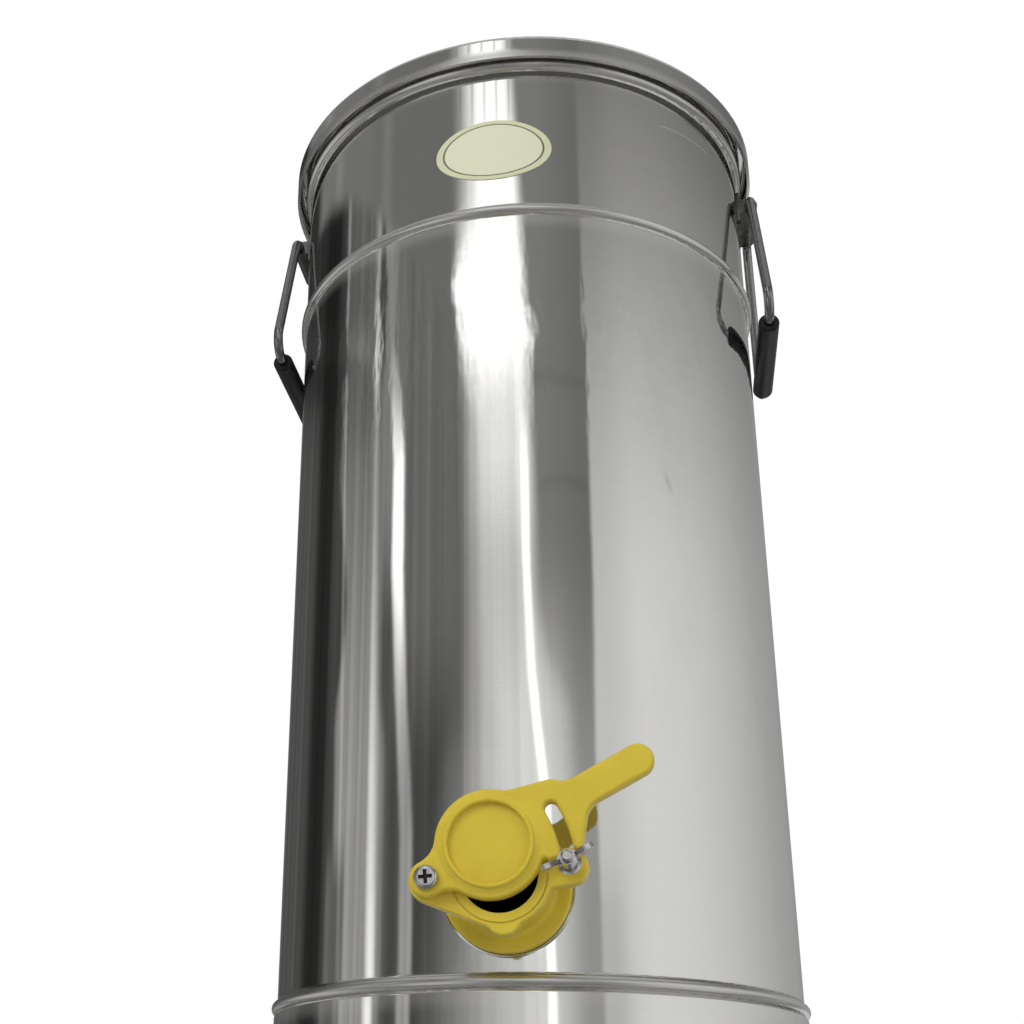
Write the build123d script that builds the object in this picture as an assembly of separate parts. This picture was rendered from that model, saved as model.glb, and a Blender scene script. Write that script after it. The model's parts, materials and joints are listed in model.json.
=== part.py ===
from build123d import *
import math
import os

# Honey settling tank: a sheet-metal drum with a loose lid, two drop handles
# and a swivel-slide outlet gate. Millimetres, +Z up, the outlet faces -Y,
# and the origin is on the drum's axis at the bottom of its foot.

# Drum
tank_radius = 160.0
sheet = 1.0
shell_top = 661.0
bead_radius = 3.4
bead_blend = 1.4
lower_bead_height = 48.0
upper_bead_drop = 131.0
rim_bead_radius = 4.3
rim_bead_drop = 15.0
rim_roll_radius = 2.6
floor_skirt = 13.0

# Foot
foot_sheet = 1.8
foot_hem_width = 12.0
foot_hem_thickness = 2.0

# Lid
lid_play = 4.4
lid_skirt = 18.4
lid_corner = 4.0
lid_hem_height = 5.0
lid_step_inset = 14.0
lid_step_width = 8.0
lid_step_rise = 4.0
lid_crown_rise = 5.0
lid_pad_radius = 27.0
lid_bend = 3.0

# Lid knob and its fastening
knob_base_radius = 14.0
knob_neck_radius = 9.0
knob_head_radius = 21.0
knob_waist_height = 17.0
knob_rim_height = 4.0
knob_crown = 7.0
knob_round = 1.6
knob_screw_radius = 3.0
knob_screw_grip = 13.0
knob_screw_head_radius = 6.0
knob_screw_head_height = 3.6
knob_screw_head_round = 1.2
knob_washer_radius = 10.0
knob_washer_thickness = 1.2

# Drop handles
handle_below_bead = 31.0
grip_below_bead = 30.0
rod_radius = 3.3
leg_splay = 18.6
bail_top_bend = 9.0
bail_foot_bend = 13.5
bail_seam = 1.0
grip_radius = 7.0
grip_shoulder = 1.7
grip_end_round = 2.2
lug_length = 44.0
lug_shoulder = 1.5
lug_sheet = 2.0
lug_half_height = 13.5
lug_corner = 3.0
right_hang = 2.0
left_hang = 1.0

# Outlet fitting, stacked outwards from the wall along the outlet's axis
gate_bead_gap = 7.3
gate_roll = 5.0
bore_radius = 20.0
tube_wall = 3.6
neck_wall = 4.8
seat_ring_depth = 2.5
seat_ring_margin = 1.0
gasket_thickness = 1.5
gasket_inset = 1.2
flange_margin = 14.6
flange_thickness = 5.5
flange_round = 1.2
neck_length = 23.0
neck_blend = 3.5
plate_margin = 7.0
plate_thickness = 10.0
plate_round = 1.2
groove_margin = 4.4
groove_width = 0.9
groove_depth = 0.8
tube_overrun = 8.0
saddle_thickness = 3.0
saddle_floor_gap = 4.5
lock_nut_wall = 7.4
lock_nut_height = 9.0
saddle_margin = 1.0

# Ears of the outlet fitting, and its pouring lip
ear_gap = 9.2
pivot_ear_radius = 10.8
clamp_ear_radius = 9.2
clamp_strap_half_width = 11.5
ear_blend = 4.0
lip_radius = 9.2
lip_reach = 4.0

# Swivel slide
open_angle = 23.5
slide_thickness = 7.0
slide_edge_round = 1.9
slide_ear_radius = 9.2
slide_ear_blend = 12.0
disc_margin = 1.2
disc_slope_rise = 1.4
disc_ring_margin = 3.4
disc_ring_width = 2.5
disc_ring_rise = 1.4
disc_recess_depth = 0.8
fork_slot_width = 6.9
fork_inner_tine = 8.4
fork_inner_angle = 21.0
fork_outer_angle = 17.0
fork_tip_radius = 2.5
fork_round = 3.0
fork_notch_blend = 1.5
heel_shift = 2.5
heel_rise = 5.0
heel_radius = 9.6
web_inset = 4.0
web_blend = 14.0
tine_root_shift = 13.0
tine_round = 1.8
lever_length = 59.0
lever_half_width = 8.4
lever_blend = 12.0

# Fastenings of the outlet fitting
bolt_radius = 3.0
hex_half_width = 5.0
hex_height = 4.8
washer_radius = 6.4
washer_thickness = 1.2
bolt_overrun = 1.5
pan_head_radius = 6.2
pan_head_height = 4.0
pan_head_round = 2.0
cross_slot_length = 7.2
cross_slot_width = 1.9
cross_slot_depth = 1.8
clamp_bolt_proud = 16.5
clamp_bolt_chamfer = 0.9
wing_boss_radius = 4.9
wing_boss_top_radius = 3.9
wing_boss_height = 12.5
wing_reach = 14.2
wing_height = 14.0
wing_thickness = 2.6
wing_foot_height = 1.6
wing_root_height = 8.5
wing_tip_low = 8.4
wing_top_reach = 9.2
wing_round = 2.2
wing_turn = 20.0

# Blank oval label
label_half_width = 38.0
label_half_height = 23.2
label_thickness = 0.3
label_rise = 48.0
label_tilt = 1.4
label_turn = -1.3

# Clearances
seat_gap = 0.1
lift_gap = 0.3
swing_gap = 0.3
hang_gap = 0.5
slide_gap = 0.3
clamp_gap = 0.4
pin_gap = 0.08
hole_gap = 0.6

# Sizes and places of the outlet that follow from the values above, measured out from the wall
tube_radius = bore_radius + tube_wall
neck_radius = bore_radius + neck_wall
flange_radius = bore_radius + flange_margin
plate_radius = bore_radius + plate_margin
seat_ring_radius = flange_radius + seat_ring_margin
outlet_hole_radius = tube_radius + hole_gap
lock_nut_radius = tube_radius + lock_nut_wall
saddle_radius = lock_nut_radius + saddle_margin
pivot_reach = plate_radius + ear_gap
slot_radius = 2 * pivot_reach
flange_back = seat_ring_depth + gasket_thickness
flange_front = flange_back + flange_thickness
plate_back = flange_front + neck_length
seat_face = plate_back + plate_thickness
slide_back = seat_face + slide_gap
slide_front = slide_back + slide_thickness
pan_head_back = slide_front + slide_gap
clamp_washer_back = slide_front + clamp_gap
wing_nut_back = clamp_washer_back + washer_thickness + seat_gap
clamp_bolt_end = wing_nut_back + clamp_bolt_proud
nut_face = math.sqrt((tank_radius - sheet) ** 2 - saddle_radius**2) - tank_radius - saddle_thickness
tube_end = nut_face - lock_nut_height - tube_overrun


def bead_reach(radius):
    """Half the height that a bead and its blends take up on the wall."""
    return math.sqrt((radius + bead_blend) ** 2 - bead_blend**2)


# Heights and offsets of the drum, lid and handles that follow from the values above
upper_bead_height = shell_top - upper_bead_drop
rim_bead_height = shell_top - rim_bead_drop
gate_height = lower_bead_height + bead_reach(bead_radius) + gate_bead_gap + seat_ring_radius
floor_height = gate_height - saddle_radius - saddle_floor_gap
label_height = upper_bead_height + label_rise
lid_under = shell_top + lift_gap
lid_top = lid_under + sheet
lid_radius = tank_radius + rim_bead_radius + lid_play + 2 * sheet
lid_pad_top = lid_top + lid_step_rise + lid_crown_rise
hinge_height = rim_bead_height - handle_below_bead
hinge_x = tank_radius + grip_radius + hang_gap
grip_height = upper_bead_height - grip_below_bead

# The bail's bends: how far each takes its corner back along the straight rod
top_turn = math.radians(90 - leg_splay)
foot_turn = math.radians(90 + leg_splay)
bail_top_half = lug_length / 2 + lug_shoulder + bail_top_bend * math.tan(top_turn / 2)
bail_foot_half = bail_top_half + (hinge_height - grip_height) * math.tan(math.radians(leg_splay))
grip_half = bail_foot_half - bail_foot_bend * math.tan(foot_turn / 2) - grip_shoulder

# The outlet's own frame: X to the right seen from the front, Y up, Z outwards from the wall
gate_frame = Location(Plane(origin=(0, -tank_radius, gate_height), x_dir=(1, 0, 0), z_dir=(0, -1, 0)))
gate_frame = gate_frame * Rotation(0, 0, gate_roll)
pivot_frame = gate_frame * Pos(-pivot_reach, 0, 0)
clamp_frame = gate_frame * Pos(pivot_reach, 0, 0)


def rz_line(*points):
    """Straight edges through points given as radius and height."""
    return [Line((a[0], 0, a[1]), (b[0], 0, b[1])) for a, b in zip(points, points[1:])]


def rz_arc(centre, radius, start, end):
    """An arc about a centre given as radius and height, between two angles in degrees."""
    points = []
    for angle in (start, (start + end) / 2, end):
        turn = math.radians(angle)
        points.append((centre[0] + radius * math.cos(turn), 0, centre[1] + radius * math.sin(turn)))
    return ThreePointArc(*points)


def turned(edges):
    """A solid turned about the Z axis from the edges of a closed outline."""
    return revolve(make_face(edges), Axis.Z)


def column(radius, low, high):
    """A cylinder about the Z axis between two heights."""
    return Pos(0, 0, low) * Cylinder(radius, high - low, align=(Align.CENTER, Align.CENTER, Align.MIN))


def ring(outer, inner, low, high):
    """A flat ring about the Z axis between two heights."""
    return column(outer, low, high) - column(inner, low, high)


def hexagon(low, high):
    """A hexagon bar about the Z axis between two heights."""
    outline = RegularPolygon(hex_half_width, 6, major_radius=False)
    return Pos(0, 0, low) * extrude(outline, high - low)


def drum_core(radius):
    """An upright cylinder about the drum's axis, longer than the drum."""
    return Cylinder(radius, 4 * shell_top)


def softened(outline, radius):
    """The outline with its hollow corners filled to a radius."""
    return offset(offset(outline, radius), -radius)


def rounded(outline, radius):
    """The outline with its outward corners rounded to a radius."""
    return offset(offset(outline, -radius), radius)


def bead_edges(height, radius, inset):
    """One half-round bead, upwards, on the wall face that lies inset from the outside."""
    half = math.degrees(math.atan2(bead_reach(radius), bead_blend))
    blend = bead_blend + inset
    blend_r = tank_radius + bead_blend
    below = (blend_r, height - bead_reach(radius))
    above = (blend_r, height + bead_reach(radius))
    return [
        rz_arc(below, blend, 180, 180 - half),
        rz_arc((tank_radius, height), radius - inset, -half, half),
        rz_arc(above, blend, 180 + half, 180),
    ]


def wall_edges(inset, bottom, top):
    """The drum's wall, upwards, on the face that lies inset from the outside."""
    wall_r = tank_radius - inset
    edges = []
    start = bottom
    beads = [
        (lower_bead_height, bead_radius),
        (upper_bead_height, bead_radius),
        (rim_bead_height, rim_bead_radius),
    ]
    for height, radius in beads:
        edges += rz_line((wall_r, start), (wall_r, height - bead_reach(radius)))
        edges += bead_edges(height, radius, inset)
        start = height + bead_reach(radius)
    return edges + rz_line((wall_r, start), (wall_r, top))


def make_tank_shell():
    bottom = foot_hem_thickness + seat_gap
    roll = (tank_radius - sheet + rim_roll_radius, shell_top - rim_roll_radius)
    tuck_angle = math.degrees(math.acos(1 - sheet / rim_roll_radius))
    tuck = rim_roll_radius * math.sin(math.radians(tuck_angle))
    edges = wall_edges(0, bottom, roll[1] - tuck)
    edges.append(rz_arc(roll, rim_roll_radius, tuck_angle - 180, 90))
    edges.append(rz_arc(roll, rim_roll_radius, 90, 180))
    edges += wall_edges(sheet, bottom, roll[1])
    edges += rz_line((tank_radius - sheet, bottom), (tank_radius, bottom))
    return turned(edges) - gate_frame * Cylinder(outlet_hole_radius, 2 * outlet_hole_radius)


def make_tank_bottom():
    outer = tank_radius - sheet - seat_gap
    under = floor_height - sheet
    skirt = floor_height - floor_skirt
    return turned(
        rz_line(
            (0, under),
            (outer - sheet, under),
            (outer - sheet, skirt),
            (outer, skirt),
            (outer, floor_height),
            (0, floor_height),
            (0, under),
        )
    )


def make_foot_ring():
    inner = tank_radius + seat_gap
    outer = inner + foot_sheet
    hem = outer - foot_hem_width
    top = lower_bead_height - bead_reach(bead_radius) - seat_gap
    soft = foot_sheet / 2
    edges = rz_line((hem, 0), (outer - soft, 0))
    edges.append(rz_arc((outer - soft, soft), soft, -90, 0))
    edges += rz_line((outer, soft), (outer, top - soft))
    edges.append(rz_arc((outer - soft, top - soft), soft, 0, 90))
    edges += rz_line(
        (outer - soft, top),
        (inner, top),
        (inner, foot_hem_thickness),
        (hem, foot_hem_thickness),
        (hem, 0),
    )
    return turned(edges)


def make_lid_shell():
    bottom = lid_top - lid_skirt
    hem_top = bottom + lid_hem_height
    inner = lid_radius - sheet
    folded = inner - sheet
    bend = (lid_radius - lid_corner, lid_top - lid_corner)
    step_out = tank_radius - lid_step_inset
    step_in = step_out - lid_step_width
    step_top = lid_top + lid_step_rise
    edges = rz_line((folded, bottom), (lid_radius, bottom), (lid_radius, bend[1]))
    edges.append(rz_arc(bend, lid_corner, 0, 90))
    edges += rz_line(
        (bend[0], lid_top),
        (step_out, lid_top),
        (step_in, step_top),
        (lid_pad_radius, lid_pad_top),
        (0, lid_pad_top),
        (0, lid_pad_top - sheet),
        (lid_pad_radius, lid_pad_top - sheet),
        (step_in, step_top - sheet),
        (step_out, lid_under),
        (bend[0], lid_under),
    )
    edges.append(rz_arc(bend, lid_corner - sheet, 90, 0))
    edges += rz_line((inner, bend[1]), (inner, hem_top), (folded, hem_top), (folded, bottom))
    outline = make_face(edges)
    bends = []
    for corner in outline.vertices():
        if lid_pad_radius - sheet < corner.X < step_out + sheet:
            bends.append(corner)
    lid = revolve(fillet(bends, lid_bend), Axis.Z)
    return lid - Pos(0, 0, lid_pad_top) * Cylinder(knob_screw_radius + seat_gap, 4 * sheet)


def make_lid_knob():
    base = lid_pad_top
    waist = base + knob_waist_height
    rim = waist + knob_rim_height
    crown = (knob_head_radius**2 + knob_crown**2) / (2 * knob_crown)
    crown_angle = math.degrees(math.acos(knob_head_radius / crown))
    edges = rz_line((0, base), (knob_base_radius, base))
    edges.append(
        ThreePointArc(
            (knob_base_radius, 0, base),
            (knob_neck_radius, 0, base + knob_waist_height / 2),
            (knob_head_radius, 0, waist),
        )
    )
    edges += rz_line((knob_head_radius, waist), (knob_head_radius, rim))
    edges.append(rz_arc((0, rim + knob_crown - crown), crown, crown_angle, 90))
    edges += rz_line((0, rim + knob_crown), (0, base))
    outline = make_face(edges)
    brim = [corner for corner in outline.vertices() if abs(corner.X - knob_head_radius) < knob_round / 2]
    knob = revolve(fillet(brim, knob_round), Axis.Z)
    bore_top = base + knob_screw_grip + seat_gap
    return knob - column(knob_screw_radius + seat_gap, base - sheet, bore_top)


def make_lid_knob_washer():
    under = lid_pad_top - sheet
    return ring(knob_washer_radius, knob_screw_radius + seat_gap, under - knob_washer_thickness, under)


def make_lid_knob_screw():
    seat = lid_pad_top - sheet - knob_washer_thickness
    head = column(knob_screw_head_radius, seat - knob_screw_head_height, seat)
    head = fillet(head.edges().group_by(Axis.Z)[0], knob_screw_head_round)
    screw = head + column(knob_screw_radius, seat, lid_pad_top + knob_screw_grip)
    return screw - cross_recess(seat - knob_screw_head_height)


def cross_recess(face):
    """Two crossed slots, cut evenly to both sides of a flat face."""
    slot = Pos(0, 0, face) * Box(cross_slot_length, cross_slot_width, 2 * cross_slot_depth)
    return slot + Pos(0, 0, face) * Box(cross_slot_width, cross_slot_length, 2 * cross_slot_depth)


def make_handle_lug():
    """The strap on the +X side whose fold is a tunnel for the bail."""
    bore = rod_radius + swing_gap
    fold = bore + lug_sheet
    wall = tank_radius + seat_gap
    hinge = Pos(hinge_x, 0, hinge_height)
    outline = Plane.YZ * RectangleRounded(lug_length, 2 * lug_half_height, lug_corner)
    strap = Pos(0, 0, hinge_height) * extrude(outline, 2 * tank_radius)
    strap = strap & drum_core(wall + lug_sheet)
    block = hinge * Pos(-tank_radius / 2, 0, 0) * Box(tank_radius, lug_length, 2 * fold)
    along = Rotation(90, 0, 0)
    lug = strap + block + hinge * along * Cylinder(fold, lug_length)
    return lug - drum_core(wall) - hinge * along * Cylinder(bore, 2 * lug_length)


def bail_corner(before, corner, after, radius):
    """The arc that rounds one corner of the bail's path."""
    into = (corner - before).normalized()
    out = (after - corner).normalized()
    turn = math.radians(into.get_angle(out))
    reach = radius * math.tan(turn / 2)
    inward = (out - into).normalized()
    middle = corner + inward * (radius / math.cos(turn / 2) - radius)
    return ThreePointArc(corner - into * reach, middle, corner + out * reach)


def make_handle_bail():
    """The bent rod on the +X side, whose ends meet inside the grip."""
    corners = [
        Vector(hinge_x, bail_seam / 2, grip_height),
        Vector(hinge_x, bail_foot_half, grip_height),
        Vector(hinge_x, bail_top_half, hinge_height),
        Vector(hinge_x, -bail_top_half, hinge_height),
        Vector(hinge_x, -bail_foot_half, grip_height),
        Vector(hinge_x, -bail_seam / 2, grip_height),
    ]
    bends = [bail_foot_bend, bail_top_bend, bail_top_bend, bail_foot_bend]
    path = []
    end = corners[0]
    for before, corner, after, radius in zip(corners, corners[1:], corners[2:], bends):
        arc = bail_corner(before, corner, after, radius)
        path += [Line(end, arc @ 0), arc]
        end = arc @ 1
    path.append(Line(end, corners[-1]))
    section = Plane(origin=corners[0], z_dir=(0, 1, 0)) * Circle(rod_radius)
    return sweep(section, path=Wire(path))


def make_handle_grip():
    """The tube on the lower rod of the +X bail."""
    grip = Cylinder(grip_radius, 2 * grip_half)
    grip = fillet(grip.edges().filter_by(GeomType.CIRCLE), grip_end_round)
    grip = grip - Cylinder(rod_radius + seat_gap, 4 * grip_half)
    return Pos(hinge_x, 0, grip_height) * Rotation(90, 0, 0) * grip


def hung(piece, angle):
    """A piece of the +X handle swung out from the wall by an angle in degrees."""
    return piece.rotate(Axis((hinge_x, 0, hinge_height), (0, -1, 0)), angle)


def make_outlet_seat_ring():
    """The boss that gives the outlet a flat seat on the round wall."""
    boss = ring(seat_ring_radius, outlet_hole_radius, -seat_ring_radius, seat_ring_depth)
    return gate_frame * boss - drum_core(tank_radius + seat_gap)


def make_gate_gasket():
    return gate_frame * ring(
        flange_radius - gasket_inset, tube_radius + seat_gap, seat_ring_depth, flange_back
    )


def strap(reach, near_radius, far_radius):
    """Two circles, one at the origin and one along +X, joined by their common tangents."""
    lean = (near_radius - far_radius) / reach
    rise = math.sqrt(1 - lean**2)
    web = make_face(
        Polyline(
            (near_radius * lean, near_radius * rise),
            (reach + far_radius * lean, far_radius * rise),
            (reach + far_radius * lean, -far_radius * rise),
            (near_radius * lean, -near_radius * rise),
            close=True,
        )
    )
    return Circle(near_radius) + web + Pos(reach, 0) * Circle(far_radius)


def strap_between(start, start_radius, end, end_radius):
    """The same, from a circle at one point to a circle at another."""
    along = end - start
    turn = math.degrees(math.atan2(along.Y, along.X))
    return Pos(start.X, start.Y) * Rotation(0, 0, turn) * strap(along.length, start_radius, end_radius)


def plate_outline():
    """The face plate with its two ears and its lip, seen from the front."""
    pivot_strap = Rotation(0, 0, 180) * strap(pivot_reach, plate_radius, pivot_ear_radius)
    clamp_strap = strap(pivot_reach, clamp_strap_half_width, clamp_ear_radius)
    lip = Pos(0, lip_radius - plate_radius - lip_reach) * Circle(lip_radius)
    return softened(pivot_strap + clamp_strap + lip, ear_blend)


def make_gate_body():
    edges = rz_line(
        (0, tube_end),
        (tube_radius, tube_end),
        (tube_radius, flange_back),
        (flange_radius, flange_back),
        (flange_radius, flange_front - flange_round),
    )
    edges.append(rz_arc((flange_radius - flange_round, flange_front - flange_round), flange_round, 0, 90))
    edges += rz_line((flange_radius - flange_round, flange_front), (neck_radius + neck_blend, flange_front))
    edges.append(rz_arc((neck_radius + neck_blend, flange_front + neck_blend), neck_blend, -90, -180))
    edges += rz_line(
        (neck_radius, flange_front + neck_blend),
        (neck_radius, plate_back + plate_round),
        (0, plate_back + plate_round),
        (0, tube_end),
    )
    plate = Pos(0, 0, plate_back) * extrude(plate_outline(), plate_thickness)
    outer_edges = plate.faces().sort_by(Axis.Z)[-1].edges() + plate.faces().sort_by(Axis.Z)[0].edges()
    body = turned(edges) + fillet(outer_edges, plate_round)
    body -= column(bore_radius, tube_end - sheet, seat_face + sheet)
    groove_outer = bore_radius + groove_margin + groove_width
    body -= ring(groove_outer, bore_radius + groove_margin, seat_face - groove_depth, seat_face + sheet)
    hole = column(bolt_radius + seat_gap, plate_back - sheet, seat_face + sheet)
    for side in (-1, 1):
        body -= Pos(side * pivot_reach, 0, 0) * hole
    return gate_frame * body


def make_gate_inner_washer():
    """The saddle that fits the round wall inside and gives the lock nut a flat seat."""
    saddle = ring(saddle_radius, tube_radius + seat_gap, nut_face, 0)
    return gate_frame * saddle & drum_core(tank_radius - sheet - seat_gap)


def make_gate_lock_nut():
    outline = RegularPolygon(lock_nut_radius, 8) - Circle(tube_radius + seat_gap)
    return gate_frame * Pos(0, 0, nut_face - lock_nut_height) * extrude(outline, lock_nut_height)


def wedge(start, end):
    """A wide sector about the origin between two angles in degrees."""
    far = 4 * slot_radius
    corners = [(0, 0)]
    for angle in (start, (start + end) / 2, end):
        turn = math.radians(angle)
        corners.append((far * math.cos(turn), far * math.sin(turn)))
    return make_face(Polyline(*corners, close=True))


def band(inner, outer, start, end):
    """A flat sector of a ring about the origin between two angles in degrees."""
    return (Circle(outer) - Circle(inner)) & wedge(start, end)


def slide_outline():
    """The slide seen from the front, with its pivot at the origin and its lever along +X."""
    half_slot = fork_slot_width / 2
    slot_inner = slot_radius - half_slot
    slot_outer = slot_radius + half_slot
    disc_radius = plate_radius + disc_margin
    disc_centre = Vector(pivot_reach, 0)
    disc = Pos(pivot_reach, 0) * Circle(disc_radius)
    head = softened(disc + strap(pivot_reach, slide_ear_radius, slide_ear_radius), slide_ear_blend)
    heel = Vector(slot_radius + heel_shift, heel_rise)
    web = strap_between(disc_centre, disc_radius - web_inset, heel, heel_radius)
    head = softened(head + web, web_blend)
    tip = Vector(slot_outer + fork_tip_radius, 0).rotate(Axis.Z, -fork_outer_angle)
    root = Vector(slot_radius + tine_root_shift, 0)
    lever = Pos(slot_radius, 0) * strap(lever_length - lever_half_width, lever_half_width, lever_half_width)
    arm = Pos(heel.X, heel.Y) * Circle(heel_radius) + lever
    arm = softened(arm + strap_between(root, lever_half_width, tip, fork_tip_radius), lever_blend)
    arm += band(slot_radius, slot_outer + fork_tip_radius, -fork_outer_angle, 0)
    tine = rounded(band(slot_inner - fork_inner_tine, slot_radius, -fork_inner_angle, 0), fork_round)
    outline = softened(head + arm + tine, fork_notch_blend)
    slot = band(slot_inner, slot_outer, -2 * fork_inner_angle, 0)
    return rounded(outline - slot - Pos(slot_radius, 0) * Circle(half_slot), tine_round)


def make_gate_slide():
    plate = extrude(slide_outline(), slide_thickness)
    plate = fillet(plate.faces().sort_by(Axis.Z)[-1].edges(), slide_edge_round)
    ring_radius = bore_radius + disc_ring_margin
    ring_inner = ring_radius - disc_ring_width
    slope_top = slide_thickness + disc_slope_rise
    crest = slope_top + disc_ring_rise
    floor = slide_thickness - disc_recess_depth
    slope_foot = plate_radius + disc_margin - slide_edge_round
    ring_mid = ring_radius - disc_ring_width / 2
    edges = rz_line(
        (0, slide_thickness / 2),
        (slope_foot, slide_thickness / 2),
        (slope_foot, slide_thickness),
        (ring_radius, slope_top),
    )
    edges.append(ThreePointArc((ring_radius, 0, slope_top), (ring_mid, 0, crest), (ring_inner, 0, slope_top)))
    edges += rz_line((ring_inner, slope_top), (ring_inner, floor), (0, floor), (0, slide_thickness / 2))
    recess = column(ring_inner, floor, crest)
    slide = plate - Pos(pivot_reach, 0, 0) * recess + Pos(pivot_reach, 0, 0) * turned(edges)
    slide -= column(bolt_radius + pin_gap, -sheet, crest)
    return pivot_frame * Pos(0, 0, slide_back) * Rotation(0, 0, open_angle) * slide


def make_pivot_screw():
    head = column(pan_head_radius, pan_head_back, pan_head_back + pan_head_height)
    head = fillet(head.edges().group_by(Axis.Z)[-1], pan_head_round)
    end = plate_back - washer_thickness - hex_height - bolt_overrun
    screw = head + column(bolt_radius, end, pan_head_back)
    return pivot_frame * (screw - cross_recess(pan_head_back + pan_head_height))


def make_pivot_washer():
    return pivot_frame * ring(washer_radius, bolt_radius + seat_gap, plate_back - washer_thickness, plate_back)


def make_pivot_nut():
    seat = plate_back - washer_thickness
    return pivot_frame * (hexagon(seat - hex_height, seat) - column(bolt_radius + seat_gap, 0, seat))


def make_clamp_bolt():
    head = hexagon(plate_back - hex_height, plate_back)
    shank = column(bolt_radius, plate_back, clamp_bolt_end)
    shank = chamfer(shank.edges().group_by(Axis.Z)[-1], clamp_bolt_chamfer)
    return clamp_frame * (head + shank)


def make_clamp_washer():
    washer_front = clamp_washer_back + washer_thickness
    return clamp_frame * ring(washer_radius, bolt_radius + pin_gap, clamp_washer_back, washer_front)


def make_wing_nut():
    boss = Cone(
        wing_boss_radius,
        wing_boss_top_radius,
        wing_boss_height,
        align=(Align.CENTER, Align.CENTER, Align.MIN),
    )
    outline = Polygon(
        (0, wing_foot_height),
        (wing_boss_radius, wing_foot_height),
        (wing_reach, wing_tip_low),
        (wing_reach, wing_height),
        (wing_top_reach, wing_height),
        (bolt_radius, wing_root_height),
        (0, wing_root_height),
        align=None,
    )
    tips = [corner for corner in outline.vertices() if corner.X > wing_boss_radius + wing_round]
    wing = Plane.XZ * fillet(tips, wing_round)
    wing = extrude(wing, wing_thickness / 2, both=True)
    nut = boss + wing + Rotation(0, 0, 180) * wing
    nut -= column(bolt_radius + pin_gap, -sheet, 2 * wing_height)
    return clamp_frame * Pos(0, 0, wing_nut_back) * Rotation(0, 0, wing_turn) * nut


def make_blank_label():
    """An oval patch that follows the round wall."""
    outline = Plane(origin=(0, 0, label_height), x_dir=(1, 0, 0), z_dir=(0, -1, 0))
    patch = outline * Rotation(0, 0, -label_tilt) * Ellipse(label_half_width, label_half_height)
    patch = extrude(patch, 2 * tank_radius)
    face = tank_radius + seat_gap
    patch = patch & (drum_core(face + label_thickness) - drum_core(face))
    return Rotation(0, 0, label_turn) * patch


nodes = {
    "tank_shell": make_tank_shell(),
    "tank_bottom": make_tank_bottom(),
    "foot_ring": make_foot_ring(),
    "lid_shell": make_lid_shell(),
    "lid_knob": make_lid_knob(),
    "lid_knob_washer": make_lid_knob_washer(),
    "lid_knob_screw": make_lid_knob_screw(),
    "outlet_seat_ring": make_outlet_seat_ring(),
    "gate_gasket": make_gate_gasket(),
    "gate_body": make_gate_body(),
    "gate_inner_washer": make_gate_inner_washer(),
    "gate_lock_nut": make_gate_lock_nut(),
    "gate_slide": make_gate_slide(),
    "pivot_screw": make_pivot_screw(),
    "pivot_washer": make_pivot_washer(),
    "pivot_nut": make_pivot_nut(),
    "clamp_bolt": make_clamp_bolt(),
    "clamp_washer": make_clamp_washer(),
    "wing_nut": make_wing_nut(),
    "blank_label": make_blank_label(),
}
nodes["right_handle_lug"] = make_handle_lug()
nodes["left_handle_lug"] = mirror(make_handle_lug(), Plane.YZ)
for name, piece in {"handle_bail": make_handle_bail(), "handle_grip": make_handle_grip()}.items():
    nodes["right_" + name] = hung(piece, right_hang)
    nodes["left_" + name] = mirror(hung(piece, left_hang), Plane.YZ)

os.makedirs("parts", exist_ok=True)
for name, piece in nodes.items():
    export_step(piece, "parts/" + name + ".step")
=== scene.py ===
import json
import math
import bmesh
import bpy
from mathutils import Matrix, Vector


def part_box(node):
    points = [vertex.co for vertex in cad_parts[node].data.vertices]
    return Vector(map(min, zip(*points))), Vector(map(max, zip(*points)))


# A honey settling tank: bright sheet-metal drum, loose lid, two drop handles and a yellow outlet gate.
# Metres, +Z up, the outlet gate faces -Y.

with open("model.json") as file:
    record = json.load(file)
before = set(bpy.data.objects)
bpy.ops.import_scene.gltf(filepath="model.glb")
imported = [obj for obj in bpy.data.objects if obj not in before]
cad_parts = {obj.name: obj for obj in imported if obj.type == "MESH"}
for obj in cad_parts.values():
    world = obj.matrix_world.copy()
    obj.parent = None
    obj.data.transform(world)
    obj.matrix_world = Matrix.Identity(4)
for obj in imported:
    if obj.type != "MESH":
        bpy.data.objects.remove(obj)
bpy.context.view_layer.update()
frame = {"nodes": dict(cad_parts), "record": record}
nodes = frame["nodes"]


# Places on the drum
# Heights are above the floor, places are across and upward, and an edge or end is where it starts and stops

bead_heights = (0.048, 0.530, 0.646)
bead_half = 0.0066
# The corner under each bead is made less metallic, a painted light over its dark line
corner_drop = 0.006
corner_half = 0.011
wall_middle = 0.1595
wall_soft = 0.0002
rim_height = 0.6606
rim_soft = 0.0004
front_edge = (-0.08, -0.04)
back_edge = (0.10, 0.12)
dent_height = 0.445
dent_reach = 0.12
rubbed_across = -0.022
rubbed_half = 0.050
rubbed_end = (0.34, 0.43)
drip_place = (0.0966, 0.345)
drip_half = (0.0024, 0.011)
drip_lean = 0.22
scratch_place = (0.128, 0.6174)
scratch_half = 0.0008
scratch_bend = 5.0
scratch_left_end = (0.100, 0.108)
scratch_right_end = (0.134, 0.142)
seam_half = 0.0022
seam_end = (0.625, 0.635)

# The oval label's line and rim, as shares of its half width and half height

label_tilt = math.radians(1.4)
label_line = 0.865
label_line_half = 0.030
label_rim = (0.86, 0.88)

# A screw's cross recess, where shade is painted, as depths behind the head's face and distance from the axis

recess_start = (0.0003, 0.0009)
recess_stop = (0.0024, 0.0030)
recess_edge = (0.0038, 0.0041)

# Colours

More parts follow.
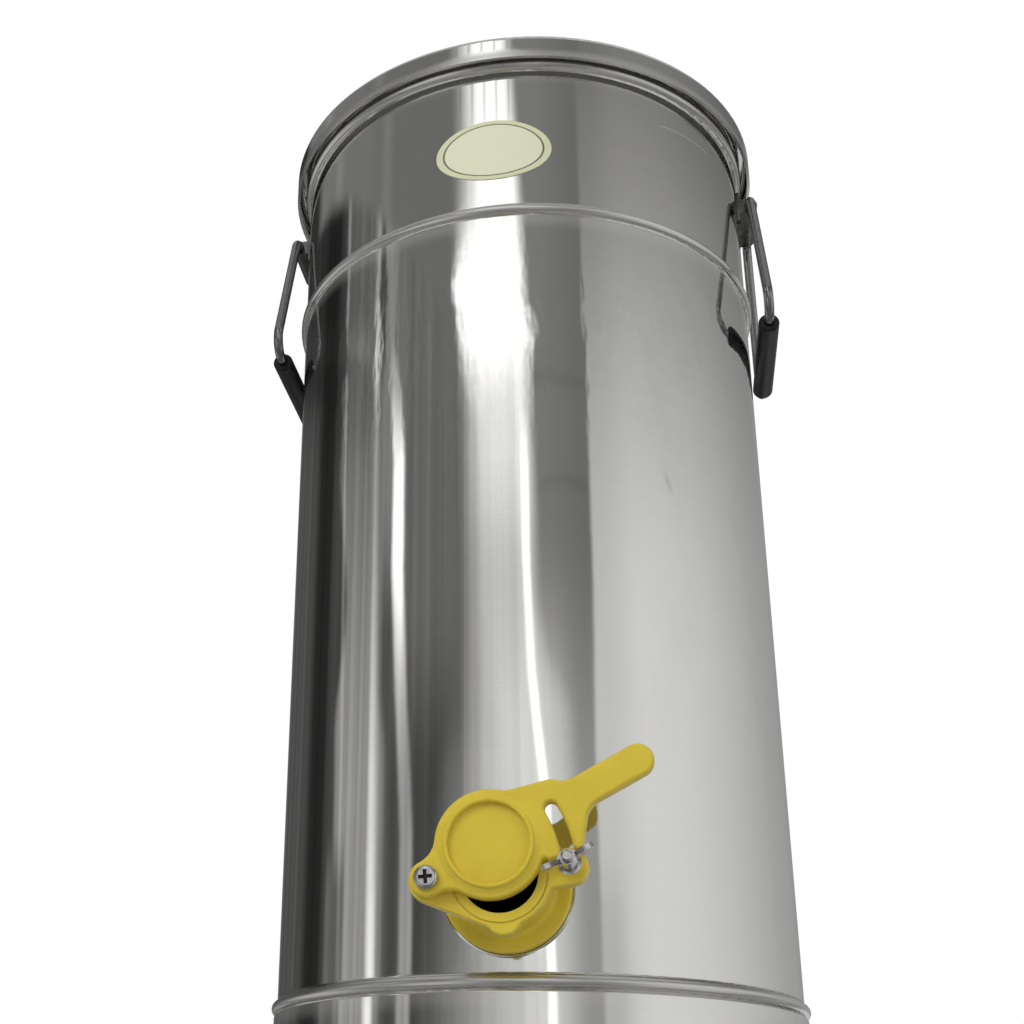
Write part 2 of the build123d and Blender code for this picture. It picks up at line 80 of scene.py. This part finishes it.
steel_bright = (0.84, 0.836, 0.808, 1.0)
steel_dull = (0.64, 0.636, 0.612, 1.0)
# Painted shade: the beads' colour is darker than the flat sheet
painted_bead_shade = (0.46, 0.456, 0.44, 1.0)
# Painted shade: the rod's colours are darker than its polished metal
rod_painted_shade = (0.31, 0.31, 0.305, 1.0)
rod_scuffs_and_shade = (0.23, 0.23, 0.226, 1.0)
# Painted shade: the lug's colours are darker than its metal, with real heat tint in the second
lug_painted_shade = (0.16, 0.158, 0.154, 1.0)
lug_tint_and_shade = (0.09, 0.088, 0.084, 1.0)
fastener_bright = (0.64, 0.63, 0.62, 1.0)
fastener_marked = (0.46, 0.45, 0.44, 1.0)
# Painted shade for a screw's cross recess
painted_recess_shade = (0.03, 0.03, 0.03, 1.0)
yellow_light = (0.740, 0.575, 0.052, 1.0)
yellow_deep = (0.680, 0.515, 0.044, 1.0)
grip_black = (0.009, 0.009, 0.010, 1.0)
grip_dusty = (0.024, 0.0235, 0.023, 1.0)
rubber_black = (0.018, 0.018, 0.018, 1.0)
rubber_bloomed = (0.05, 0.049, 0.047, 1.0)
film_pale = (0.80, 0.81, 0.60, 1.0)
film_fibre = (0.76, 0.77, 0.56, 1.0)
film_rim = (0.70, 0.71, 0.47, 1.0)
film_line = (0.06, 0.06, 0.045, 1.0)


# Shader building

class Wire:
    """A shader socket that takes part in sums."""

    def __init__(self, shader, socket):
        self.shader = shader
        self.socket = socket

    def maths(self, operation, *others):
        inputs = {0: self}
        for place, other in enumerate(others):
            inputs[place + 1] = other
        return self.shader.node("ShaderNodeMath", {"operation": operation}, inputs)

    def __add__(self, other):
        return self.maths("ADD", other)

    def __radd__(self, other):
        return self.maths("ADD", other)

    def __sub__(self, other):
        return self.maths("SUBTRACT", other)

    def __rsub__(self, other):
        return self.maths("MULTIPLY", -1.0) + other

    def __mul__(self, other):
        return self.maths("MULTIPLY", other)

    def __rmul__(self, other):
        return self.maths("MULTIPLY", other)

    def __truediv__(self, other):
        return self.maths("DIVIDE", other)

    def __pow__(self, other):
        return self.maths("POWER", other)

    def above(self, other):
        return self.maths("MAXIMUM", other)

    def below(self, other):
        return self.maths("MINIMUM", other)

    def size(self):
        return self.maths("ABSOLUTE")

    def past(self, place):
        """How far beyond a place, and 0 before it."""
        return (self - place).above(0.0)

    def short_of(self, place):
        """How far before a place, and 0 beyond it."""
        return (place - self).above(0.0)

    def rise(self, low, high):
        """0 up to low, 1 from high on, and a soft slope between."""
        places = {"Value": self, "From Min": low, "From Max": high}
        return self.shader.node("ShaderNodeMapRange", {"interpolation_type": "SMOOTHSTEP"}, places, "Result")

    def fall(self, low, high):
        """1 up to low, 0 from high on, and a soft slope between."""
        return 1.0 - self.rise(low, high)

    def hump(self, middle, half):
        """1 at the middle and 0 beyond a half width on either side."""
        return (self - middle).size().fall(0.0, half)

    def towards(self, other, share):
        """This value at a share of 0 and the other at a share of 1."""
        return self + (other - self) * share


class Shader:
    """One node tree, with a single way to add a node."""

    def __init__(self, tree):
        self.tree = tree
        tree.nodes.clear()

    def node(self, kind, settings=None, inputs=None, output=0):
        made = self.tree.nodes.new(kind)
        for name, value in (settings or {}).items():
            setattr(made, name, value)
        for name, value in (inputs or {}).items():
            socket = made.inputs[name]
            if isinstance(value, Wire):
                self.tree.links.new(value.socket, socket)
            else:
                socket.default_value = value
        if len(made.outputs) == 0:
            return made
        return Wire(self, made.outputs[output])

    def parts_of(self, vector):
        """The X, Y and Z of a vector, as three values."""
        return [self.node("ShaderNodeSeparateXYZ", None, {"Vector": vector}, axis) for axis in "XYZ"]

    def noise(self, scale, detail, rough, shift=(0.0, 0.0, 0.0)):
        """Noise on object coordinates with a scale for each direction, per metre."""
        place = self.node("ShaderNodeTexCoord", output="Object")
        mapped = self.node("ShaderNodeMapping", None, {"Vector": place, "Scale": scale, "Location": shift})
        inputs = {"Vector": mapped, "Scale": 1.0, "Detail": detail, "Roughness": rough}
        return self.node("ShaderNodeTexNoise", None, inputs, "Fac")

    def speckle(self, scale, detail, rough):
        """Noise with the same scale in every direction."""
        return self.noise((scale, scale, scale), detail, rough)

    def blend(self, share, first, second):
        inputs = {"Factor": share, 6: first, 7: second}
        return self.node("ShaderNodeMix", {"data_type": "RGBA"}, inputs, 2)

    def bump(self, height, depth, under=None):
        inputs = {"Height": height, "Distance": depth, "Strength": 1.0}
        if under is not None:
            inputs["Normal"] = under
        return self.node("ShaderNodeBump", None, inputs)

    def principled(self, colour, rough, normal, metal=0.0, gloss=0.5):
        inputs = {
            "Base Color": colour,
            "Roughness": rough,
            "Normal": normal,
            "Metallic": metal,
            "Specular IOR Level": gloss,
        }
        self.finish(self.node("ShaderNodeBsdfPrincipled", None, inputs))

    def finish(self, surface, output="ShaderNodeOutputMaterial"):
        self.node(output, None, {"Surface": surface})


def new_material(name):
    material = bpy.data.materials.new(name)
    material.use_nodes = True
    return material, Shader(material.node_tree)


def grey(level):
    return (level, level, level, 1.0)


# Finishes

def sheet_steel():
    """Bright rolled sheet: nearly a mirror, slightly wavy, with fine rolling lines and wiped smears."""
    material, s = new_material("bright_sheet_steel")
    across, inward, upward = s.parts_of(s.node("ShaderNodeTexCoord", output="Object"))
    front = inward.fall(*front_edge)
    around = s.noise(scale=(7.0, 7.0, 900.0), detail=4.0, rough=0.65)
    coarse = s.noise(scale=(5.0, 5.0, 240.0), detail=3.0, rough=0.6, shift=(2.0, 1.0, 0.4))
    smears = s.noise(scale=(14.0, 14.0, 5.0), detail=5.0, rough=0.62, shift=(0.0, 0.0, 3.1)).rise(0.46, 0.80)
    waves = s.noise(scale=(5.0, 5.0, 3.2), detail=1.5, rough=0.4)
    ripple = s.noise(scale=(55.0, 55.0, 38.0), detail=2.0, rough=0.5)
    # Small upright dents under the upper bead, left by rolling it
    dents = s.noise(scale=(95.0, 95.0, 24.0), detail=2.0, rough=0.5, shift=(0.3, 0.7, 0.2))
    dents = dents * upward.hump(dent_height, dent_reach)
    # The front below the dents is rubbed, so its rolling lines are stronger
    rubbed = front * across.hump(rubbed_across, rubbed_half) * upward.fall(*rubbed_end)
    # One dried drip on the right of the front
    drip_line = across - drip_place[0] + drip_lean * (upward - drip_place[1])
    drip = front * drip_line.hump(0.0, drip_half[0]) * upward.hump(drip_place[1], drip_half[1])
    drip = drip * ripple.rise(0.25, 0.55)
    # One fine scratch to the right under the rim
    aside = across - scratch_place[0]
    scratch = front * (upward + scratch_bend * aside * aside).hump(scratch_place[1], scratch_half)
    scratch = scratch * across.rise(*scratch_left_end) * across.fall(*scratch_right_end)
    # The inside is duller than the outside
    radius = (across * across + inward * inward) ** 0.5
    inside = radius.fall(wall_middle - wall_soft, wall_middle + wall_soft)
    inside = inside * upward.fall(rim_height - rim_soft, rim_height)
    # The drum's upright weld is at the back
    seam = inward.rise(*back_edge) * across.hump(0.0, seam_half) * upward.fall(*seam_end)
    rough = 0.026 + 0.030 * around + 0.014 * coarse + 0.05 * smears + 0.08 * drip + 0.22 * seam
    rough = rough + 0.40 * scratch + 0.24 * inside
    dull = 0.30 * smears + 0.16 * around + 0.14 * coarse + 0.30 * rubbed * around + 0.7 * drip + 0.5 * seam
    colour = s.blend(dull, steel_bright, steel_dull)
    metal = 1.0 - 0.5 * inside
    # The rolled beads are a little duller than the flat sheet and their colour is painted darker as shade,
    # and the corner under each is made less metallic, a painted light that lifts its dark line
    for height in bead_heights:
        bead = upward.hump(height, bead_half)
        rough = rough + 0.28 * bead
        colour = s.blend(0.30 * bead, colour, painted_bead_shade)
        metal = metal - 0.13 * upward.hump(height - corner_drop, corner_half)
    sheet = s.bump(waves + 0.022 * ripple + 0.20 * dents + 0.16 * seam, 0.0009)
    lines = s.bump((around + 0.6 * coarse) * (0.22 + 0.78 * rubbed), 0.000006, sheet)
    s.principled(colour, rough, lines, metal)
    return material


def drawn_rod():
    """Drawn and polished rod with scuffs, its colour painted dark as shade."""
    material, s = new_material("polished_rod")
    scuffs = s.speckle(scale=260.0, detail=5.0, rough=0.65)
    colour = s.blend(scuffs.rise(0.45, 0.75), rod_painted_shade, rod_scuffs_and_shade)
    rough = 0.10 + 0.12 * scuffs.rise(0.35, 0.8)
    s.principled(colour, rough, s.bump(scuffs, 0.000008), metal=1.0)
    return material


def pressed_lug():
    """Pressed and spot-welded sheet: duller than the drum, with heat tint, and its colour painted dark as
    shade.
    """
    material, s = new_material("pressed_lug_steel")
    tint = s.speckle(scale=120.0, detail=3.0, rough=0.6)
    marks = s.noise(scale=(500.0, 500.0, 90.0), detail=4.0, rough=0.6)
    colour = s.blend(tint.rise(0.35, 0.7), lug_painted_shade, lug_tint_and_shade)
    s.principled(colour, 0.24 + 0.20 * marks, s.bump(marks, 0.00003), metal=1.0)
    return material


def plain_fastener(name, screw=None):
    """Turned stainless with tool marks, a little duller than the sheet, and painted shade in a screw's
    recess.
    """
    material, s = new_material(name)
    marks = s.speckle(scale=420.0, detail=4.0, rough=0.6)
    colour = s.blend(marks.rise(0.35, 0.75), fastener_bright, fastener_marked)
    if screw:
        low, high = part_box(screw)
        middle = (low + high) / 2
        across, inward, upward = s.parts_of(s.node("ShaderNodeTexCoord", output="Object"))
        across = across - middle.x
        upward = upward - middle.z
        deep = inward - low.y
        radius = (across * across + upward * upward) ** 0.5
        # Painted shade: the cross recess is darkened where shade falls in it
        recess_shade = deep.rise(*recess_start) * deep.fall(*recess_stop) * radius.fall(*recess_edge)
        colour = s.blend(recess_shade, colour, painted_recess_shade)
    s.principled(colour, 0.09 + 0.12 * marks, s.bump(marks, 0.00003), metal=1.0)
    return material


def yellow_moulding():
    """Moulded yellow plastic with a soft gloss and a faint orange-peel skin."""
    material, s = new_material("yellow_moulding")
    cloud = s.speckle(scale=42.0, detail=3.0, rough=0.55)
    peel = s.speckle(scale=950.0, detail=2.0, rough=0.5)
    colour = s.blend(cloud.rise(0.3, 0.75), yellow_light, yellow_deep)
    s.principled(colour, 0.30 + 0.12 * peel, s.bump(peel + 2.0 * cloud, 0.00004), gloss=0.42)
    return material


def black_grip():
    """Black satin plastic, a little dusty."""
    material, s = new_material("black_grip_plastic")
    dust = s.speckle(scale=160.0, detail=5.0, rough=0.6)
    peel = s.speckle(scale=1100.0, detail=2.0, rough=0.5)
    colour = s.blend(dust.rise(0.5, 0.85), grip_black, grip_dusty)
    s.principled(colour, 0.33 + 0.15 * dust + 0.06 * peel, s.bump(peel, 0.00005), gloss=0.35)
    return material


def seal_rubber():
    """Matt black rubber with a grey bloom."""
    material, s = new_material("seal_rubber")
    bloom = s.speckle(scale=300.0, detail=4.0, rough=0.6)
    colour = s.blend(bloom.rise(0.4, 0.8), rubber_black, rubber_bloomed)
    s.principled(colour, 0.62 + 0.2 * bloom, s.bump(bloom, 0.0001))
    return material


def label_film():
    """A blank oval film: a pale middle, a thin dark oval line and a slightly stronger rim."""
    material, s = new_material("label_film")
    low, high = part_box("blank_label")
    middle = (low + high) / 2
    half_width = (high.x - low.x) / 2
    half_height = (high.z - low.z) / 2
    place = s.node("ShaderNodeTexCoord", output="Object")
    centred = {"Vector": place, "Location": (middle.x, 0.0, middle.z), "Rotation": (0.0, label_tilt, 0.0)}
    across, _, upward = s.parts_of(s.node("ShaderNodeMapping", {"vector_type": "TEXTURE"}, centred))
    across = across / half_width
    upward = upward / half_height
    oval = (across * across + upward * upward) ** 0.5
    fibre = s.speckle(scale=700.0, detail=3.0, rough=0.6)
    inner = s.blend(fibre, film_pale, film_fibre)
    ground = s.blend(oval.rise(*label_rim), inner, film_rim)
    colour = s.blend(oval.hump(label_line, label_line_half), ground, film_line)
    s.principled(colour, 0.34 + 0.1 * fibre, s.bump(fibre, 0.00002))
    return material


finishes = {
    "stainless_sheet": sheet_steel(),
    "bright_rod": drawn_rod(),
    "fastener": plain_fastener("turned_fastener"),
    "yellow_plastic": yellow_moulding(),
    "black_grip": black_grip(),
    "seal_rubber": seal_rubber(),
    "label_film": label_film(),
}
lug_finish = pressed_lug()
special_finishes = {
    "right_handle_lug": lug_finish,
    "left_handle_lug": lug_finish,
    "pivot_screw": plain_fastener("recessed_screw", screw="pivot_screw"),
}
for part in frame["record"]["subparts"]:
    node = nodes[part["node"]]
    finish = special_finishes.get(part["node"], finishes[part["material_slot"]])
    for slot in node.material_slots:
        slot.material = finish


# The room that polished metal mirrors
# Directions are in degrees: az from the front (-Y) to the right, el above the horizon

fill_light = 0.36
wall_start = (33.5, 36.0)
line_heights = (30.1, 26.3)
line_half = 0.22
line_middle = 21.0
line_bend = 0.0026
patch_place = -93.0
near_streak_place = -52.5
far_streak_place = -70.0
thin_streak_place = -89.5
upper_start = (36.0, 36.9)
upper_middle = -97.0
upper_bend = 0.001
window_left = -31.0
window_right = 4.0
blind_spacing = 6.4
strip_place = 4.3
strip_edge = (1.0, 2.6)
back_start = (150.0, 172.0)
back_tone = 0.30
ceiling_start = (43.0, 60.0)
floor_start = (-8.0, 2.0)
deep_start = (-50.0, -26.0)
# Soft panels below the horizon: place, half width and light
panel_lights = [
    (-38.0, 20.0, 0.50),
    (12.0, 7.0, 0.32),
    (72.0, 34.0, 0.42),
    (128.0, 6.0, 0.30),
    (168.0, 22.0, 0.54),
    (-148.0, 5.0, 0.26),
    (-104.0, 24.0, 0.38),
]
panel_core = 0.55


def right_side(az, el):
    """A dark band beside the window, crossed by two thin curved lines, and then a pale wall."""
    low = el.fall(13.0, 25.0)
    band = 0.22 - 0.05 * az.rise(10.0, 34.0) + low * (0.50 - 0.34 * az.rise(10.0, 28.0))
    sag = line_bend * (az - line_middle) * (az - line_middle)
    for height in line_heights:
        band = band * (1.0 - 0.30 * (el + sag).hump(height, line_half))
    # The wall darkens upwards and backwards
    wall = (0.76 - 0.54 * el.rise(18.0, 44.0)) * (0.84 + 0.16 * az.rise(36.0, 58.0))
    wall = wall * (1.0 - 0.52 * az.rise(55.0, 160.0))
    wall = wall * (1.0 - 0.18 * el.fall(9.0, 13.0) * az.fall(38.0, 48.0))
    wall_place = az + 0.35 * el.short_of(22.0).below(6.0)
    return band.towards(wall, wall_place.rise(*wall_start))


def left_side(az, el, grain):
    """Steps of grey, darker high up, with a dim patch at their foot and three upright streaks."""
    dark_place = 2.5 * el.fall(12.0, 22.0) + 7.0 * el.hump(21.5, 5.0) + 3.0 * el.hump(30.7, 1.6) - 97.0
    # Each step has its place, its softness and its tone
    steps = [
        (-60.0, 2.0, 0.09 + 0.14 * el.rise(20.0, 26.0)),
        (3.6 * el.fall(15.5, 19.0) - 68.0, 3.0, 0.34 - 0.15 * el.rise(13.0, 30.0)),
        (dark_place, 2.0, 0.06),
        (-103.5, 1.5, 0.02),
        (-119.0, 7.0, 0.085 - 0.04 * el.rise(28.0, 30.0)),
    ]
    left = 0.16 - 0.09 * el.fall(14.5, 22.0)
    for place, soft, tone in steps:
        left = left.towards(tone, az.fall(place - soft, place + soft))
    shade = 0.30 * el.rise(31.2, 32.4) + 0.28 * el.rise(25.5, 29.8) * el.fall(30.3, 31.0)
    left = left * (1.0 - shade * az.fall(-78.0, -74.0))
    patch = (az - patch_place).size().fall(5.0, 8.0)
    left = left.towards(0.14, patch * el.fall(10.5, 13.5))
    near_foot = el.fall(15.0, 19.0)
    near_streak = az - near_streak_place + 0.6 * el.past(13.0).below(9.8) + el.past(27.0) - 0.8 * near_foot
    near_light = 0.40 - 0.07 * near_foot + 0.90 * el.hump(24.5, 7.0)
    near_light = near_light * (1.0 - 0.90 * el.rise(26.5, 32.5))
    left = left + near_light * near_streak.size().fall(1.6, 4.4)
    far_streak = az - far_streak_place + 0.12 * (el - 10.0)
    far_light = 0.20 + 0.78 * el.fall(6.0, 27.0) + 0.40 * el.hump(31.0, 3.0)
    left = left * (1.0 - 0.6 * far_streak.hump(3.4, 2.6) * el.rise(29.5, 31.5))
    left = left + far_light * far_streak.hump(0.0, 3.6 - el.rise(28.0, 31.0))
    thin_streak = az - thin_streak_place + 0.26 * (el - 10.0)
    thin_light = (0.11 + 0.09 * el.rise(14.0, 19.0)) * (1.0 - el.hump(30.7, 1.2))
    left = left + thin_light * thin_streak.hump(0.0, 2.0)
    return left * (0.82 + 0.36 * grain)


def upper_left(az):
    """The quiet tone above the left side."""
    upper = 0.168 + 0.05 * az.hump(-69.0, 6.0) + 0.022 * az.fall(-84.0, -72.0) + 0.06 * az.hump(-108.0, 7.0)
    return 0.03 + (upper - 0.03) * az.rise(-138.0, -126.0)


def window_light(az, el, grain):
    """The window, brightest high up, with blinds at its top."""
    blinds = (az * math.radians(360.0 / blind_spacing)).maths("COSINE").above(0.0) ** 6.0
    window = 0.78 - 0.13 * el.hump(22.5, 5.5) + 0.17 * el.rise(23.0, 28.0) + 0.40 * el.rise(28.5, 31.5)
    return window * (0.92 + 0.16 * grain) * (1.0 - 0.5 * blinds * el.rise(38.0, 40.5))


def upright_room(az, el, grain):
    """All that stands round the object: left side, window, right side and back."""
    bow = upper_bend * (az - upper_middle) * (az - upper_middle)
    left = left_side(az, el, grain).towards(upper_left(az), (el + bow).rise(*upper_start))
    # The window's edges are sharpest high up
    left_edge = 1.2 * el.fall(29.0, 32.0) - 1.2 * el.short_of(21.0) - 1.5 * el.hump(33.4, 1.2) + window_left
    left_edge = left_edge - 1.6 * el.short_of(17.4).below(2.0)
    left_soft = (3.0 + 3.2 * el.short_of(33.5) + 5.0 * el.past(33.5)).below(19.0) + 3.2 * el.short_of(21.0)
    right_edge = window_right - 0.3 * el.past(25.0) - 0.5 * el.past(35.0)
    right_edge = right_edge + 1.5 * el.short_of(22.0).below(1.8) + 4.0 * el.hump(31.8, 1.0)
    right_soft = 8.0 + 5.0 * el.short_of(20.0).below(2.4) - 13.0 * el.fall(10.0, 14.0)
    room = left.towards(window_light(az, el, grain), az.rise(left_edge, left_edge + left_soft))
    room = room.towards(right_side(az, el), az.rise(right_edge, right_edge + right_soft))
    # A bright strip beside the window
    strip = az - strip_place - 0.30 * el.short_of(23.5).below(12.0) - 0.80 * el.short_of(19.0).below(4.5)
    room = room + 0.75 * strip.size().fall(*strip_edge) * el.fall(25.5, 30.0)
    return room.towards(back_tone, az.size().rise(*back_start))


def ceiling_light(ray_x, ray_y):
    """The ceiling, lighter towards the back."""
    return 0.46 + 0.14 * ray_y.rise(0.05, 0.42) * (1.0 - 0.35 * ray_x.rise(-0.5, 0.5))


def panels_below(az, el, grain):
    """Soft upright panels all round below the horizon, so that the metal is lively from every side."""
    panels = 0.15 + 0.05 * grain
    for place, half, light in panel_lights:
        panels = panels + light * (az - place).size().fall(panel_core * half, half)
    deep = 0.10 + 0.30 * panels
    return deep.towards(panels, el.rise(*deep_start))


def studio_world():
    """White for the camera, an even fill for dull surfaces, and a room of light and dark walls for metal."""
    world = bpy.data.worlds.new("studio")
    bpy.context.scene.world = world
    world.use_nodes = True
    s = Shader(world.node_tree)
    ray_x, ray_y, ray_z = s.parts_of(s.node("ShaderNodeTexCoord", output="Generated"))
    az = ray_x.maths("ARCTAN2", ray_y * -1.0) * math.degrees(1.0)
    el = ray_z.maths("ARCSINE") * math.degrees(1.0)
    streaky = {"W": az * 0.22, "Scale": 1.0, "Detail": 3.0, "Roughness": 0.55}
    grain = s.node("ShaderNodeTexNoise", {"noise_dimensions": "1D"}, streaky, "Fac").rise(0.3, 0.7)
    room = upright_room(az, el, grain)
    room = room.towards(ceiling_light(ray_x, ray_y), el.rise(*ceiling_start))
    room = room.towards(panels_below(az, el, grain), el.fall(*floor_start))
    path = "ShaderNodeLightPath"
    seen = s.node(path, output="Is Camera Ray").above(s.node(path, output="Is Transmission Ray"))
    mirrored = s.node(path, output="Is Glossy Ray")
    shown = mirrored * (room - fill_light) + fill_light
    shown = shown.towards(1.0, seen)
    light = s.node("ShaderNodeBackground", None, {"Color": grey(1.0), "Strength": shown})
    s.finish(light, "ShaderNodeOutputWorld")


# Floor, lamps and camera

floor_radius = 4.0
floor_fade = (0.9, 3.6)
floor_tone = 0.74
floor_glow = 0.22
lamp_aim = (0.0, 0.0, 0.3)
rear_aim = (0.0, 0.0, 0.35)
# The camera stands close in front, a little below the floor's level, and looks up
camera_distance = 0.9646
camera_drop = 0.0598
camera_side = math.radians(5.0)
camera_heading = math.radians(11.07)
camera_pitch = math.radians(22.10)
camera_roll = math.radians(1.16)
camera_lens = 52.95
camera_shift = (0.1289, 0.0762)


def pale_floor():
    """A wide pale floor that keeps the object's shadow and runs out into white.

    It is only there from above, because the photograph looks up from below its level, and metal mirrors the
    studio in its place.
    """
    shape = bmesh.new()
    bmesh.ops.create_circle(shape, cap_ends=True, segments=96, radius=floor_radius)
    mesh = bpy.data.meshes.new("floor")
    shape.to_mesh(mesh)
    shape.free()
    floor = bpy.data.objects.new("floor", mesh)
    bpy.context.scene.collection.objects.link(floor)
    material, s = new_material("pale_floor")
    place = s.node("ShaderNodeTexCoord", output="Object")
    far = s.node("ShaderNodeVectorMath", {"operation": "LENGTH"}, {0: place}, "Value").rise(*floor_fade)
    glow = s.blend(far, grey(floor_glow), grey(1.0))
    seen = s.node("ShaderNodeLightPath", output="Is Camera Ray")
    lit = {
        "Base Color": s.blend(far, grey(floor_tone), grey(0.0)),
        "Roughness": 0.8,
        "Specular IOR Level": 0.0,
        "Emission Color": s.blend(seen, grey(0.0), glow),
        "Emission Strength": 1.0,
    }
    pale = s.node("ShaderNodeBsdfPrincipled", None, lit)
    clear = s.node("ShaderNodeBsdfTransparent")
    under = s.node("ShaderNodeNewGeometry", output="Backfacing")
    mirrored = s.node("ShaderNodeLightPath", output="Is Glossy Ray")
    s.finish(s.node("ShaderNodeMixShader", None, {0: under.above(mirrored), 1: pale, 2: clear}))
    mesh.materials.append(material)


def soft_lamp(name, place, aim, size, power):
    """A square soft box that lights dull surfaces and isn't mirrored by the metal."""
    lamp = bpy.data.lights.new(name, "AREA")
    lamp.size = size
    lamp.energy = power
    box = bpy.data.objects.new(name, lamp)
    box.location = place
    box.rotation_euler = (Vector(aim) - Vector(place)).to_track_quat("-Z", "Y").to_euler()
    box.visible_glossy = False
    bpy.context.scene.collection.objects.link(box)


def photograph_camera():
    """The camera at the photograph's place and framing."""
    data = bpy.data.cameras.new("camera")
    data.sensor_width = 36.0
    data.lens = camera_lens
    data.shift_x, data.shift_y = camera_shift
    data.clip_start = 0.01
    camera = bpy.data.objects.new("camera", data)
    place = (
        camera_distance * math.sin(camera_side),
        -camera_distance * math.cos(camera_side),
        -camera_drop,
    )
    turn = Matrix.Rotation(camera_heading, 4, "Z") @ Matrix.Rotation(math.pi / 2 + camera_pitch, 4, "X")
    camera.matrix_world = Matrix.Translation(place) @ turn @ Matrix.Rotation(camera_roll, 4, "Z")
    bpy.context.scene.collection.objects.link(camera)
    bpy.context.scene.camera = camera


studio_world()
pale_floor()
soft_lamp("key", place=(-1.3, -2.2, 1.9), aim=lamp_aim, size=1.6, power=36.0)
soft_lamp("fill", place=(1.9, -1.6, 1.2), aim=lamp_aim, size=1.6, power=14.0)
soft_lamp("rear", place=(0.4, 2.4, 2.2), aim=rear_aim, size=1.8, power=26.0)
photograph_camera()
bpy.context.scene.view_settings.view_transform = "Standard"
